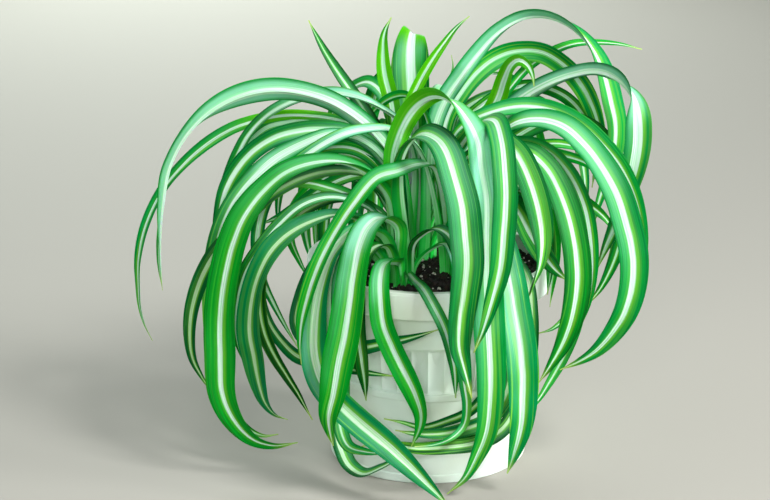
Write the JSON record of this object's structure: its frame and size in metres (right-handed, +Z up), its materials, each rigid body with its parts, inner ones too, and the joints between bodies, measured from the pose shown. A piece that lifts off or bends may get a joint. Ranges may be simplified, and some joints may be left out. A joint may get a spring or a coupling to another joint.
{
  "type": "potted spider plant",
  "caption": "Potted spider plant: long arching leaves, striped green and cream, spill from a fluted, tapered plastic pot full of soil that stands in its own saucer.",
  "frame": {"origin": "centre of the saucer's underside, on the surface that it stands on", "axes": "+Z up along the axis of the pot, +Y away from the side that was pictured, +X to the right seen from that side"},
  "size_m": [0.3156, 0.2448, 0.2772],
  "materials": {
    "white_plastic": "satin",
    "potting_soil": "matte",
    "striped_leaf": "satin"
  },
  "bodies": {
    "root": {"saucer": "white_plastic", "pot": "white_plastic", "soil": "potting_soil", "rootstock": "striped_leaf", "back_high_1": "striped_leaf", "back_high_2": "striped_leaf", "back_left_arch": "striped_leaf", "back_teal_arch": "striped_leaf", "far_left_arch": "striped_leaf", "far_left_low_arch": "striped_leaf", "front_centre_hanging": "striped_leaf", "front_hooked": "striped_leaf", "front_left_dark": "striped_leaf", "front_left_diagonal": "striped_leaf", "front_left_wide": "striped_leaf", "front_low_curl": "striped_leaf", "front_right_inner": "striped_leaf", "front_right_pale": "striped_leaf", "front_tall_arch": "striped_leaf", "left_broad_arch": "striped_leaf", "left_dark_edge": "striped_leaf", "left_dark_hanging": "striped_leaf", "left_front_drooping": "striped_leaf", "left_long_hanging": "striped_leaf", "left_lower_dark": "striped_leaf", "left_over_arch": "striped_leaf", "left_pale_arch": "striped_leaf", "left_striped_arch": "striped_leaf", "left_thin_arch": "striped_leaf", "low_left_diagonal": "striped_leaf", "pot_sweep_lower": "striped_leaf", "pot_sweep_upper": "striped_leaf", "right_back_arch": "striped_leaf", "right_back_thin": "striped_leaf", "right_broad_hanging": "striped_leaf", "right_curled": "striped_leaf", "right_dark_edge": "striped_leaf", "right_folded": "striped_leaf", "right_long_hanging": "striped_leaf", "right_low_striped": "striped_leaf", "right_low_tail": "striped_leaf", "right_pale_arch": "striped_leaf", "right_pointed": "striped_leaf", "right_tail": "striped_leaf", "right_upper_arch": "striped_leaf", "saucer_fold_lower": "striped_leaf", "saucer_fold_upper": "striped_leaf", "saucer_sweep_lower": "striped_leaf", "saucer_sweep_middle": "striped_leaf", "saucer_sweep_upper": "striped_leaf", "second_right_arch": "striped_leaf", "tall_right_arch": "striped_leaf", "up_left_pointed": "striped_leaf", "upright_blade": "striped_leaf", "upright_channel": "striped_leaf", "upright_thin": "striped_leaf"}
  },
  "joints": []
}
